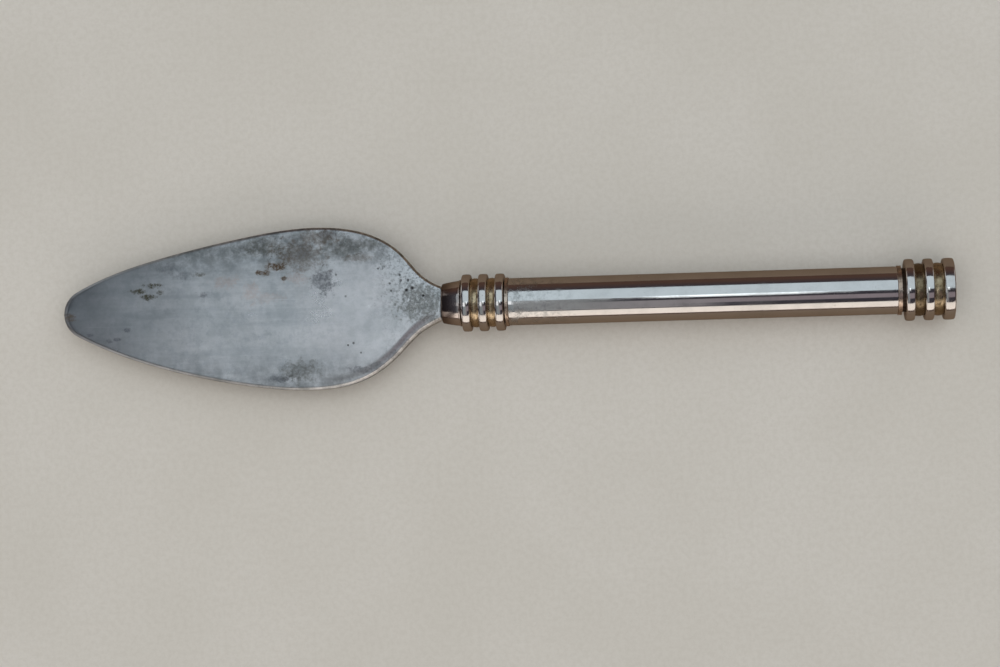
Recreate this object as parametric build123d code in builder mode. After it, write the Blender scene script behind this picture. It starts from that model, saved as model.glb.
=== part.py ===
from build123d import *
import math
import os

# A flat leaf-shaped blade on a round handle. The handle's line runs along X, from the blade's tip at -X to the
# butt at +X. The knife lies on the lowest points of its cap rings, which touch Z = 0, with the blade level.

# ---------------------------------------------------------------- driving dimensions, in millimetres
# Blade
BLADE_LENGTH = 104.0  # tip to the bolster's front face
BLADE_REACH_LEFT = 21.5  # the widest reach on the +Y side of the handle's line
BLADE_REACH_RIGHT = 22.3  # the widest reach on the -Y side
BLADE_THICKNESS = 1.3
BLADE_DROP = 0.8  # the blade's mid-plane below the handle's line
BLADE_EDGE_ROUND = 0.45
TIP_RADIUS = 6.8
TIP_SWEEP = 61.0  # degrees of the tip's arc on each side of the handle's line
NECK_WIDTH = 9.0  # across the blade where it meets the bolster
NECK_THICKNESS = 3.0
CRANK_LENGTH = 44.0  # the stretch in front of the bolster where the blade rises and thickens
TANG_LENGTH = 44.0
TANG_WIDTH = 5.0
TANG_THICKNESS = 2.4

# Bolster, the short flared neck behind the blade
BOLSTER_CONE_LENGTH = 4.6
BOLSTER_FRONT_DIAMETER = 10.7
BOLSTER_WAIST_DIAMETER = 11.5  # half way along the flare
BOLSTER_REAR_DIAMETER = 12.1
BOLSTER_RIM_DIAMETER = 12.5
BOLSTER_RIM_WIDTH = 0.5
BOLSTER_HUB_DIAMETER = 11.2
BOLSTER_HUB_WIDTH = 0.35
BOLSTER_SOCKET_DEPTH = 2.6

# Front collar
COLLAR_RINGS = 3
COLLAR_RING_STAND = 1.35  # how far a ring stands out past the tube's surface
COLLAR_RING_WIDTH = 2.35
COLLAR_SPACER_SUNK = 1.1  # how far a spacer lies below the rings' crowns
COLLAR_SPACER_WIDTH = 2.15
COLLAR_CORE_DIAMETER = 9.2
COLLAR_BORE_DIAMETER = 6.8
COLLAR_SHOULDER_DIAMETER = 11.4
COLLAR_SHOULDER_WIDTH = 0.3
COLLAR_LIP_WIDTH = 0.8
COLLAR_SPIGOT_LENGTH = 14.0

# Handle tube
TUBE_DIAMETER = 12.7
TUBE_WALL = 0.9
TUBE_LENGTH = 103.3
LIP_STAND = 0.2  # how far a lip stands out past the tube's surface

# Rear cap
CAP_RINGS = 3
CAP_RING_STAND = 1.85
CAP_RING_WIDTH = 2.4
CAP_END_RING_WIDTH = 2.9
CAP_SPACER_SUNK = 1.2
CAP_SPACER_WIDTH = 2.6
CAP_CORE_DIAMETER = 10.4
CAP_SHOULDER_DIAMETER = 11.6
CAP_SHOULDER_WIDTH = 0.9
CAP_LIP_WIDTH = 1.0
CAP_SPIGOT_LENGTH = 12.0
BUTTON_DIAMETER = 12.4
BUTTON_THICKNESS = 1.2
BUTTON_SHANK_DIAMETER = 4.0
BUTTON_SHANK_LENGTH = 9.0

# Shared
RING_CROWN = 0.1  # height of a ring's round crown over its flat flanks
RING_EDGE_ROUND = 0.3
CEMENT_PAST_TANG = 6.0
FIT = 0.02  # clearance on the radius, or on each side of the flat tang
EDGE_BREAK = 0.15

# ---------------------------------------------------------------- places that follow from the dimensions
collar_stack = COLLAR_RINGS * COLLAR_RING_WIDTH + (COLLAR_RINGS - 1) * COLLAR_SPACER_WIDTH
cap_stack = (CAP_RINGS - 1) * (CAP_RING_WIDTH + CAP_SPACER_WIDTH) + CAP_END_RING_WIDTH
bolster_length = BOLSTER_CONE_LENGTH + BOLSTER_RIM_WIDTH + BOLSTER_HUB_WIDTH
collar_length = collar_stack + COLLAR_SHOULDER_WIDTH + COLLAR_LIP_WIDTH
cap_length = CAP_LIP_WIDTH + CAP_SHOULDER_WIDTH + cap_stack
overall_length = BLADE_LENGTH + bolster_length + collar_length + TUBE_LENGTH + cap_length

tip_x = -overall_length / 2
bolster_x = tip_x + BLADE_LENGTH
rim_x = bolster_x + BOLSTER_CONE_LENGTH
collar_x = bolster_x + bolster_length
collar_shoulder_x = collar_x + collar_stack
collar_lip_x = collar_shoulder_x + COLLAR_SHOULDER_WIDTH
tube_x = collar_lip_x + COLLAR_LIP_WIDTH
cap_lip_x = tube_x + TUBE_LENGTH
cap_shoulder_x = cap_lip_x + CAP_LIP_WIDTH
cap_x = cap_shoulder_x + CAP_SHOULDER_WIDTH
butt_x = cap_x + cap_stack

collar_ring_diameter = TUBE_DIAMETER + 2 * COLLAR_RING_STAND
collar_spacer_diameter = collar_ring_diameter - 2 * COLLAR_SPACER_SUNK
cap_ring_diameter = TUBE_DIAMETER + 2 * CAP_RING_STAND
cap_spacer_diameter = cap_ring_diameter - 2 * CAP_SPACER_SUNK
axis_z = max(cap_ring_diameter, collar_ring_diameter) / 2
blade_z = axis_z - BLADE_DROP
tube_bore = TUBE_DIAMETER - 2 * TUBE_WALL
lip_diameter = TUBE_DIAMETER + 2 * LIP_STAND
tang_end_x = bolster_x + TANG_LENGTH
sleeve_nose_x = collar_x - BOLSTER_SOCKET_DEPTH
sleeve_end_x = tube_x + COLLAR_SPIGOT_LENGTH
cement_end_x = tang_end_x + CEMENT_PAST_TANG
button_x = butt_x - BUTTON_THICKNESS

handle_line = Axis((0, 0, axis_z), (1, 0, 0))
profile_plane = Plane.XY.offset(axis_z)  # a turned piece's half profile: X along the handle, Y outwards

os.makedirs("parts", exist_ok=True)


def finish(piece, name):
    """Label a finished piece and write it out under its own name."""
    piece.part.label = name
    export_step(piece.part, f"parts/{name}.step")


def turned(outline):
    """A solid turned on the handle's line from the corners of its closed half profile."""
    with BuildPart() as piece:
        with BuildSketch(profile_plane):
            with BuildLine():
                Polyline(*outline, close=True)
            make_face()
        revolve(axis=handle_line)
    return piece


def spacer(start, width, outside, bore):
    """A plain turned spacer between two rings, its bore a slide fit on the core."""
    inner = bore / 2 + FIT
    outer = outside / 2
    return turned(((start, inner), (start, outer), (start + width, outer), (start + width, inner)))


def crowned_ring(start, width, outside, bore, recess=0.0, recess_depth=0.0):
    """A ring with a round crown; recess cuts a step into its rear face for the button."""
    inner = bore / 2 + FIT
    flank = outside / 2 - RING_CROWN
    end = start + width
    with BuildPart() as ring:
        with BuildSketch(profile_plane):
            with BuildLine():
                Polyline((start, flank), (start, inner), (end, inner), (end, flank))
                ThreePointArc((end, flank), (start + width / 2, outside / 2), (start, flank))
            make_face()
        revolve(axis=handle_line)
        shoulders = ring.edges().filter_by(lambda e: e.geom_type == GeomType.CIRCLE and e.radius > inner)
        fillet(shoulders, RING_EDGE_ROUND)
        if recess:
            with BuildSketch(Plane.YZ.offset(end)):
                with Locations((0, axis_z)):
                    Circle(recess / 2 + FIT)
            extrude(amount=-recess_depth, mode=Mode.SUBTRACT)
    return ring


# ---------------------------------------------------------------- blade, neck and tang
# The outline's points: share of the blade's length from the tip, share of that side's reach.
LEFT_POINTS = ((0.26, 0.675), (0.47, 0.895), (0.70, 1.0), (0.81, 0.90), (0.895, 0.645), (0.948, 0.355))
RIGHT_POINTS = ((0.26, 0.695), (0.47, 0.920), (0.66, 1.0), (0.79, 0.895), (0.88, 0.617), (0.940, 0.350))
NECK_TAPER = 20.0  # degrees at which the outline still closes in where it meets the bolster


def edge_points(shares, reach, side):
    """Points along one edge of the blade, on the side given by +1 or -1."""
    return [(tip_x + along * BLADE_LENGTH, side * across * reach) for along, across in shares]


tip_angle = math.radians(TIP_SWEEP)
tip_centre = (tip_x + TIP_RADIUS, 0)
tip_corner_x = tip_centre[0] - TIP_RADIUS * math.cos(tip_angle)
tip_corner_y = TIP_RADIUS * math.sin(tip_angle)
tip_heading = (math.sin(tip_angle), math.cos(tip_angle))
neck_heading = (math.cos(math.radians(NECK_TAPER)), -math.sin(math.radians(NECK_TAPER)))
neck_half = NECK_WIDTH / 2

crank_x = bolster_x - CRANK_LENGTH
half_blade = BLADE_THICKNESS / 2
half_neck = NECK_THICKNESS / 2
level = (1, 0)

with BuildPart() as blade:
    with BuildSketch():
        with BuildLine():
            ThreePointArc((tip_corner_x, -tip_corner_y), (tip_x, 0), (tip_corner_x, tip_corner_y))
            Spline(
                (tip_corner_x, tip_corner_y),
                *edge_points(LEFT_POINTS, BLADE_REACH_LEFT, 1),
                (bolster_x, neck_half),
                tangents=(tip_heading, neck_heading),
            )
            Line((bolster_x, neck_half), (bolster_x, -neck_half))
            Spline(
                (tip_corner_x, -tip_corner_y),
                *edge_points(RIGHT_POINTS, BLADE_REACH_RIGHT, -1),
                (bolster_x, -neck_half),
                tangents=((tip_heading[0], -tip_heading[1]), (neck_heading[0], -neck_heading[1])),
            )
        make_face()
    extrude(amount=2 * axis_z)
    # The side view: level and thin, then rising and thickening into the neck.
    with BuildSketch(Plane.XZ):
        with BuildLine():
            Line((tip_x, blade_z - half_blade), (tip_x, blade_z + half_blade))
            Line((tip_x, blade_z + half_blade), (crank_x, blade_z + half_blade))
            Spline(
                (crank_x, blade_z + half_blade), (bolster_x, axis_z + half_neck), tangents=(level, level)
            )
            Line((bolster_x, axis_z + half_neck), (bolster_x, axis_z - half_neck))
            Spline(
                (crank_x, blade_z - half_blade), (bolster_x, axis_z - half_neck), tangents=(level, level)
            )
            Line((crank_x, blade_z - half_blade), (tip_x, blade_z - half_blade))
        make_face()
    extrude(amount=2 * (BLADE_REACH_LEFT + BLADE_REACH_RIGHT), both=True, mode=Mode.INTERSECT)
    rims = blade.edges().filter_by(Axis.Y, reverse=True).filter_by(Axis.Z, reverse=True)
    fillet(rims, BLADE_EDGE_ROUND)
    with BuildSketch(Plane.YZ.offset(bolster_x)):
        with Locations((0, axis_z)):
            Rectangle(TANG_WIDTH, TANG_THICKNESS)
    extrude(amount=TANG_LENGTH)
finish(blade, "blade")

# ---------------------------------------------------------------- bolster
front = BOLSTER_FRONT_DIAMETER / 2
rear = BOLSTER_REAR_DIAMETER / 2
rim = BOLSTER_RIM_DIAMETER / 2
hub = BOLSTER_HUB_DIAMETER / 2
hub_x = rim_x + BOLSTER_RIM_WIDTH

with BuildPart() as bolster:
    with BuildSketch(profile_plane):
        with BuildLine():
            Polyline((bolster_x, front), (bolster_x, 0), (collar_x, 0), (collar_x, hub))
            Polyline((collar_x, hub), (hub_x, hub), (hub_x, rim), (rim_x, rim), (rim_x, rear))
            ThreePointArc(
                (rim_x, rear),
                (bolster_x + BOLSTER_CONE_LENGTH / 2, BOLSTER_WAIST_DIAMETER / 2),
                (bolster_x, front),
            )
        make_face()
    revolve(axis=handle_line)
    front_rim = bolster.edges().filter_by(GeomType.CIRCLE).sort_by(Axis.X)[0]
    fillet(front_rim, 2 * EDGE_BREAK)
    # The socket that holds the collar sleeve's nose, and the slot that the tang passes through.
    with BuildSketch(Plane.YZ.offset(collar_x)):
        with Locations((0, axis_z)):
            Circle(COLLAR_CORE_DIAMETER / 2 + FIT)
    extrude(amount=-BOLSTER_SOCKET_DEPTH, mode=Mode.SUBTRACT)
    with BuildSketch(Plane.YZ.offset(bolster_x)):
        with Locations((0, axis_z)):
            Rectangle(TANG_WIDTH + 2 * FIT, TANG_THICKNESS + 2 * FIT)
    extrude(amount=bolster_length, mode=Mode.SUBTRACT)
finish(bolster, "bolster")

# ---------------------------------------------------------------- front collar
bore = COLLAR_BORE_DIAMETER / 2
core = COLLAR_CORE_DIAMETER / 2
shoulder = COLLAR_SHOULDER_DIAMETER / 2
lip = lip_diameter / 2
spigot = tube_bore / 2 - FIT

collar_sleeve = turned(
    (
        (sleeve_nose_x, bore),
        (sleeve_nose_x, core),
        (collar_shoulder_x, core),
        (collar_shoulder_x, shoulder),
        (collar_lip_x, shoulder),
        (collar_lip_x, lip),
        (tube_x, lip),
        (tube_x, spigot),
        (sleeve_end_x, spigot),
        (sleeve_end_x, bore),
    )
)
finish(collar_sleeve, "collar_sleeve")

PLACES = ("front", "middle", "rear")
collar_pitch = COLLAR_RING_WIDTH + COLLAR_SPACER_WIDTH
for i in range(COLLAR_RINGS):
    ring_x = collar_x + i * collar_pitch
    ring = crowned_ring(ring_x, COLLAR_RING_WIDTH, collar_ring_diameter, COLLAR_CORE_DIAMETER)
    finish(ring, f"collar_ring_{PLACES[i]}")
    if i < COLLAR_RINGS - 1:
        washer = spacer(
            ring_x + COLLAR_RING_WIDTH, COLLAR_SPACER_WIDTH, collar_spacer_diameter, COLLAR_CORE_DIAMETER
        )
        finish(washer, f"collar_spacer_{PLACES[2 * i]}")

# ---------------------------------------------------------------- handle tube and the cement round the tang
tube = TUBE_DIAMETER / 2
inside = tube_bore / 2
handle_tube = turned(((tube_x, inside), (tube_x, tube), (cap_lip_x, tube), (cap_lip_x, inside)))
finish(handle_tube, "handle_tube")

with BuildPart() as tang_cement:
    with BuildSketch(profile_plane):
        with BuildLine():
            Polyline(
                (sleeve_nose_x, 0),
                (sleeve_nose_x, bore - FIT),
                (sleeve_end_x, bore - FIT),
                (sleeve_end_x, inside - FIT),
                (cement_end_x, inside - FIT),
                (cement_end_x, 0),
                close=True,
            )
        make_face()
    revolve(axis=handle_line)
    with BuildSketch(Plane.YZ.offset(sleeve_nose_x)):
        with Locations((0, axis_z)):
            Rectangle(TANG_WIDTH, TANG_THICKNESS)
    extrude(amount=tang_end_x - sleeve_nose_x, mode=Mode.SUBTRACT)
finish(tang_cement, "tang_cement")

# ---------------------------------------------------------------- rear cap
cap_core = CAP_CORE_DIAMETER / 2
cap_shoulder = CAP_SHOULDER_DIAMETER / 2
shank = BUTTON_SHANK_DIAMETER / 2
shank_end_x = button_x - BUTTON_SHANK_LENGTH

cap_plug = turned(
    (
        (cap_lip_x - CAP_SPIGOT_LENGTH, 0),
        (cap_lip_x - CAP_SPIGOT_LENGTH, spigot),
        (cap_lip_x, spigot),
        (cap_lip_x, lip),
        (cap_shoulder_x, lip),
        (cap_shoulder_x, cap_shoulder),
        (cap_x, cap_shoulder),
        (cap_x, cap_core),
        (button_x, cap_core),
        (button_x, shank + FIT),
        (shank_end_x, shank + FIT),
        (shank_end_x, 0),
    )
)
finish(cap_plug, "cap_plug")

cap_pitch = CAP_RING_WIDTH + CAP_SPACER_WIDTH
for i in range(CAP_RINGS):
    ring_x = cap_x + i * cap_pitch
    if i < CAP_RINGS - 1:
        ring = crowned_ring(ring_x, CAP_RING_WIDTH, cap_ring_diameter, CAP_CORE_DIAMETER)
        washer = spacer(ring_x + CAP_RING_WIDTH, CAP_SPACER_WIDTH, cap_spacer_diameter, CAP_CORE_DIAMETER)
        finish(washer, f"cap_spacer_{PLACES[2 * i]}")
    else:
        ring = crowned_ring(
            ring_x, CAP_END_RING_WIDTH, cap_ring_diameter, CAP_CORE_DIAMETER, BUTTON_DIAMETER, BUTTON_THICKNESS
        )
    finish(ring, f"cap_ring_{PLACES[i]}")

button = BUTTON_DIAMETER / 2
end_button = turned(
    (
        (shank_end_x, 0),
        (shank_end_x, shank),
        (button_x, shank),
        (button_x, button),
        (butt_x - EDGE_BREAK, button),
        (butt_x, button - EDGE_BREAK),
        (butt_x, 0),
    )
)
finish(end_button, "end_button")
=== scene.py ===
import math

import bmesh
import bpy
import numpy as np
from mathutils import Matrix, Vector


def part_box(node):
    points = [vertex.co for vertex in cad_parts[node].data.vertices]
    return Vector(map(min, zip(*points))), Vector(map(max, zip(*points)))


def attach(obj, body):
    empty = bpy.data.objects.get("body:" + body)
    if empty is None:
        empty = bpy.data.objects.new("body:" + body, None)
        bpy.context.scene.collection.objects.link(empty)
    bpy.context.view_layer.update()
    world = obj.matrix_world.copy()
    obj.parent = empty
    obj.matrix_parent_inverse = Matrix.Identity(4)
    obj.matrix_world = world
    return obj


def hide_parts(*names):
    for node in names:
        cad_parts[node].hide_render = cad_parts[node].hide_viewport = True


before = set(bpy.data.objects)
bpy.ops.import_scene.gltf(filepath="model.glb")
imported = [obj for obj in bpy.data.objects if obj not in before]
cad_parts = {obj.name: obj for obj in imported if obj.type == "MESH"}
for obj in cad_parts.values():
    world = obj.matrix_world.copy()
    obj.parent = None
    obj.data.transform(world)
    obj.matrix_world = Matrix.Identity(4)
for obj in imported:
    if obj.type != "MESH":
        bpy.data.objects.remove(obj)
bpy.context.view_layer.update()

# The knife lies along X, from the blade's tip at -X to the butt at +X. Z = 0 is the surface it lies on.
MM = 0.001

# ---------------------------------------------------------------- places read from the frame
blade_low, blade_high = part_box("blade")
bolster_low, bolster_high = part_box("bolster")
tube_low, tube_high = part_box("handle_tube")
TIP_X = blade_low.x
NECK_X = bolster_low.x  # where the blade meets the bolster
TUBE_RADIUS = (tube_high.y - tube_low.y) / 2
AXIS_Z = (tube_low.z + tube_high.z) / 2  # height of the handle's line
BLADE_LENGTH = NECK_X - TIP_X

# Blade sizes, as the blade was forged
REACH_LEFT = 21.5 * MM  # widest reach towards +Y
REACH_RIGHT = 22.3 * MM  # widest reach towards -Y
BLADE_THICKNESS = 1.3 * MM
BLADE_DROP = 0.8 * MM  # the blade's mid-plane below the handle's line
FACE_CROWN = 0.12 * MM  # how much fuller the blade is along its middle than beside its edges
HAMMER_HEIGHT = 0.016 * MM  # the unevenness that the forging left in the upper face
TIP_RADIUS = 6.8 * MM
TIP_SWEEP = math.radians(61)  # the tip's arc on each side of the handle's line
TIP_THINNING = 0.12  # the share of its thickness that the blade loses towards the tip
TIP_THINNED_LENGTH = 40 * MM
NECK_WIDTH = 9.0 * MM
NECK_TAPER = math.radians(20)
NECK_THICKNESS = 3.0 * MM
CRANK_LENGTH = 44.0 * MM  # the stretch in front of the bolster where the blade rises and thickens
TANG_WIDTH = 5.0 * MM
TANG_THICKNESS = 2.4 * MM
TANG_EASE = 0.3 * MM
RIGHT_EDGE_REACH = 0.82 * MM  # how far in from the outline the ground edge reaches on the thin blade
LEFT_EDGE_REACH = 0.72 * MM  # the left-hand edge is worn a little steeper
NECK_RIGHT_REACH = 1.2 * MM  # the same two edges where they run into the neck
NECK_LEFT_REACH = 0.60 * MM
TIP_EDGE_WIDENING = 0.18 * MM  # both edges are ground this much wider round the tip
TIP_EDGE_LENGTH = 14 * MM  # the stretch behind the tip where they narrow again
BEVEL_DEPTH = 0.40 * MM  # how far the upper face falls away beside the right-hand shoulder
BEVEL_START = 37 * MM  # where that begins, in front of the bolster
BEVEL_RUN_IN = 13 * MM
BEVEL_RUN_OUT = (1 * MM, 4 * MM)  # where it has ended, in front of the bolster, and how long it takes
BEVEL_FLOOR = 1.1 * MM  # how far in from the outline it is at its deepest
BEVEL_WIDTH = 2.5 * MM
# Across the ground edge, from the outline inwards: share of its reach, share of the half thickness.
EDGE_SECTION = (
    (0.0, 0.0), (0.0, 0.14), (0.015, 0.24), (0.05, 0.33), (0.11, 0.40), (0.30, 0.56),
    (0.50, 0.72), (0.70, 0.87), (0.78, 0.925), (0.86, 0.965), (0.93, 0.99), (1.0, 1.0),
)

# The outline's widths: share of the blade's length from the tip, share of the widest reach.
LEFT_POINTS = ((0.26, 0.675), (0.47, 0.895), (0.70, 1.0), (0.81, 0.90), (0.895, 0.645), (0.948, 0.355))
RIGHT_POINTS = ((0.26, 0.695), (0.47, 0.920), (0.66, 1.0), (0.79, 0.895), (0.88, 0.617), (0.940, 0.350))

# How finely the meshes are divided
TIP_STEPS = 28
SPAN_STEPS = 26
FACE_STEPS = 40
TURNED_SEGMENTS = 256

# Of every ring and spacer. It clears the collar's core, but is 0.5 mm too small for the cap's.
BORE_RADIUS = 4.7 * MM
RING_CROWN = 0.14 * MM
RING_EASE = 0.42 * MM
SPACER_SWELL = 0.22 * MM
TURNED_WOBBLE = 0.01 * MM  # how far the hand-polished rings stray from true
SPACER_SEED = 7
TUBE_WALL = 0.9 * MM
TUBE_END_EASE = 0.2 * MM


# ---------------------------------------------------------------- mesh helpers
def piece_from(name, mesh, material, slot_name, *nodes):
    """Make the object, give it its finish, let it ride and stand for its CAD nodes."""
    piece = bpy.data.objects.new(name, mesh)
    bpy.context.scene.collection.objects.link(piece)
    mesh.materials.append(material)
    for polygon in mesh.polygons:
        polygon.use_smooth = True
    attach(piece, "root")
    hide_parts(*nodes)
    return piece


def smoothstep(value):
    u = min(max(value, 0.0), 1.0)
    return u * u * (3 - 2 * u)


def arc_points(centre_x, centre_r, radius, start, end, steps):
    """Points on an arc of a half profile, from angle start to end in degrees."""
    angles = np.radians(np.linspace(start, end, steps + 1))
    return [(centre_x + radius * math.cos(a), centre_r + radius * math.sin(a)) for a in angles]


def turned_mesh(name, profile, wobble=0.0, seed=0):
    """Turn a closed half profile of (x, radius) points on the handle's line.

    wobble is how far the hand-polished surface strays from true, in metres.
    """
    rng = np.random.default_rng(seed)
    phases = rng.uniform(0, 2 * math.pi, 3)
    ring_count = len(profile)
    vertices = []
    for i in range(TURNED_SEGMENTS):
        angle = 2 * math.pi * i / TURNED_SEGMENTS
        stray = wobble * (math.sin(2 * angle + phases[0]) + 0.5 * math.sin(3 * angle + phases[1]))
        for x, radius in profile:
            r = radius + stray
            vertices.append((x, r * math.sin(angle), AXIS_Z + r * math.cos(angle)))
    faces = []
    for i in range(TURNED_SEGMENTS):
        j = (i + 1) % TURNED_SEGMENTS
        for k in range(ring_count):
            m = (k + 1) % ring_count
            faces.append([end * ring_count + point for end, point in ((i, k), (j, k), (j, m), (i, m))])
    mesh = bpy.data.meshes.new(name)
    mesh.from_pydata(vertices, [], faces)
    face_outwards(mesh)
    return mesh


def face_outwards(mesh):
    """Merge doubled points and turn every face's normal to the outside."""
    work = bmesh.new()
    work.from_mesh(mesh)
    bmesh.ops.remove_doubles(work, verts=work.verts, dist=1e-7)
    bmesh.ops.recalc_face_normals(work, faces=work.faces)
    work.to_mesh(mesh)
    work.free()


# ---------------------------------------------------------------- the blade's outline
def clamped_spline(points, start_heading, end_heading):
    """A smooth curve through the points that leaves and arrives with the given headings."""
    pts = np.array(points, float)
    chords = np.linalg.norm(np.diff(pts, axis=0), axis=1)
    count = len(pts)
    system = np.zeros((count, count))
    right = np.zeros((count, 2))
    system[0, 0] = system[-1, -1] = 1.0
    right[0], right[-1] = start_heading, end_heading
    for i in range(1, count - 1):
        before, after = chords[i - 1], chords[i]
        system[i, i - 1 : i + 2] = after, 2 * (before + after), before
        slope_before = (pts[i] - pts[i - 1]) / before
        slope_after = (pts[i + 1] - pts[i]) / after
        right[i] = 3 * (after * slope_before + before * slope_after)
    slopes = np.linalg.solve(system, right)
    curve = []
    for i in range(count - 1):
        for u in np.linspace(0, 1, SPAN_STEPS, endpoint=False):
            start_weight = 2 * u**3 - 3 * u**2 + 1
            end_weight = -2 * u**3 + 3 * u**2
            leave = (u**3 - 2 * u**2 + u) * chords[i] * slopes[i]
            arrive = (u**3 - u**2) * chords[i] * slopes[i + 1]
            curve.append(start_weight * pts[i] + end_weight * pts[i + 1] + leave + arrive)
    curve.append(pts[-1])
    return curve


def blade_side(shares, reach, side):
    """One edge of the blade from the tip to the neck; side is +1 for the left edge and -1 for the right."""
    tip = []
    for angle in np.linspace(0, TIP_SWEEP, TIP_STEPS, endpoint=False):
        tip.append((TIP_X + TIP_RADIUS * (1 - math.cos(angle)), side * TIP_RADIUS * math.sin(angle)))
    corner = (TIP_X + TIP_RADIUS * (1 - math.cos(TIP_SWEEP)), side * TIP_RADIUS * math.sin(TIP_SWEEP))
    points = [corner]
    points += [(TIP_X + along * BLADE_LENGTH, side * across * reach) for along, across in shares]
    points.append((NECK_X, side * NECK_WIDTH / 2))
    leave = (math.sin(TIP_SWEEP), side * math.cos(TIP_SWEEP))
    arrive = (math.cos(NECK_TAPER), -side * math.sin(NECK_TAPER))
    return np.array(tip + clamped_spline(points, leave, arrive))


def inward(edge, side):
    """Unit vectors in the blade's plane that point from the edge towards its inside."""
    along = np.gradient(edge, axis=0)
    along[0] = (0, side)
    along /= np.linalg.norm(along, axis=1)[:, None]
    return np.stack([side * along[:, 1], -side * along[:, 0]], axis=1)


def blade_level(x):
    """At x: the mid-plane's height, half the thickness, and the reach of the left and the right edge."""
    rise = smoothstep((x - (NECK_X - CRANK_LENGTH)) / CRANK_LENGTH)
    thin_to_tip = TIP_THINNING * smoothstep((TIP_X + TIP_THINNED_LENGTH - x) / TIP_THINNED_LENGTH)
    middle = AXIS_Z - BLADE_DROP * (1 - rise)
    half = (BLADE_THICKNESS * (1 - thin_to_tip) * (1 - rise) + NECK_THICKNESS * rise) / 2
    widening = TIP_EDGE_WIDENING * smoothstep((TIP_X + TIP_EDGE_LENGTH - x) / TIP_EDGE_LENGTH)
    left_reach = LEFT_EDGE_REACH * (1 - rise) + NECK_LEFT_REACH * rise + widening
    right_reach = RIGHT_EDGE_REACH * (1 - rise) + NECK_RIGHT_REACH * rise + widening
    return middle, half, left_reach, right_reach


def shoulder_bevel(x, from_right):
    """How far the upper face falls away beside the right-hand edge, behind the blade's widest place."""
    begins = smoothstep((x - (NECK_X - BEVEL_START)) / BEVEL_RUN_IN)
    ends_at, run_out = BEVEL_RUN_OUT
    fades = smoothstep((NECK_X - ends_at - x) / run_out)
    return BEVEL_DEPTH * begins * fades * (1 - smoothstep((from_right - BEVEL_FLOOR) / BEVEL_WIDTH))


def hammer_wave(x, y):
    """The shallow unevenness that the forging left in the upper face."""
    waves = math.sin(310 * x + 140 * y) + math.sin(190 * x - 360 * y + 1.3) + math.sin(470 * y + 0.4)
    return HAMMER_HEIGHT * waves


def blade_mesh():
    """The blade in quads: ground edges, a faintly crowned face, the neck and the hidden tang."""
    left = blade_side(LEFT_POINTS, REACH_LEFT, 1)
    right = blade_side(RIGHT_POINTS, REACH_RIGHT, -1)
    left_in, right_in = inward(left, 1), inward(right, -1)
    edge_steps = len(EDGE_SECTION) - 1
    depths, heights = zip(*EDGE_SECTION)
    # The columns stand closer together near both edges.
    even = np.linspace(0, 1, FACE_STEPS + 1)
    shares = 0.4 * even + 0.6 * (1 - np.cos(math.pi * even)) / 2
    columns = 2 * edge_steps + FACE_STEPS + 1
    vertices, faces = [], []
    for above in (1, -1):
        for row in range(len(left)):
            middle, half, left_reach, right_reach = blade_level((left[row][0] + right[row][0]) / 2)
            near = left[row] + left_in[row] * left_reach
            far = right[row] + right_in[row] * right_reach
            width = max(left[row][1] - right[row][1], 1e-6)
            line = []
            for depth, height in zip(depths, heights):
                line.append((left[row] + left_in[row] * left_reach * depth, height))
            for share in shares[1:-1]:
                line.append((near + (far - near) * share, 1.0))
            for depth, height in zip(reversed(depths), reversed(heights)):
                line.append((right[row] + right_in[row] * right_reach * depth, height))
            for (x, y), height in line:
                across = 2 * (y - (left[row][1] + right[row][1]) / 2) / width
                crown = FACE_CROWN * (1 - min(across * across, 1.0))
                level = middle + above * (half * height + crown)
                if above > 0:
                    from_right = math.hypot(x - right[row][0], y - right[row][1])
                    level -= shoulder_bevel(x, from_right) + hammer_wave(x, y) * height
                vertices.append((x, y, level))
    rows = len(left)
    for side in range(2):
        base = side * rows * columns
        for row in range(rows - 1):
            for k in range(columns - 1):
                a = base + row * columns + k
                faces.append((a, a + 1, a + columns + 1, a + columns))
    # The neck's end, which meets the bolster.
    top, bottom = (rows - 1) * columns, (2 * rows - 1) * columns
    for k in range(columns - 1):
        faces.append((top + k, top + k + 1, bottom + k + 1, bottom + k))
    # The tang, its corners eased, ending where the CAD tang ends.
    tang = []
    half_width, half_depth = TANG_WIDTH / 2, TANG_THICKNESS / 2
    for y_side, z_side in ((1, 1), (-1, 1), (-1, -1), (1, -1)):
        corner = [
            (y_side * half_width, z_side * (half_depth - TANG_EASE)),
            (y_side * (half_width - TANG_EASE), z_side * half_depth),
        ]
        tang += corner if y_side * z_side > 0 else corner[::-1]
    start = len(vertices)
    for x in (NECK_X - MM, blade_high.x):
        vertices += [(x, y, AXIS_Z + z) for y, z in tang]
    count = len(tang)
    for k in range(count):
        m = (k + 1) % count
        faces.append((start + k, start + m, start + count + m, start + count + k))
    faces.append(tuple(range(start, start + count)))
    faces.append(tuple(range(start + count, start + 2 * count)))
    mesh = bpy.data.meshes.new("blade_forged")
    mesh.from_pydata(vertices, [], [tuple(dict.fromkeys(f)) for f in faces])
    face_outwards(mesh)
    return mesh


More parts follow.
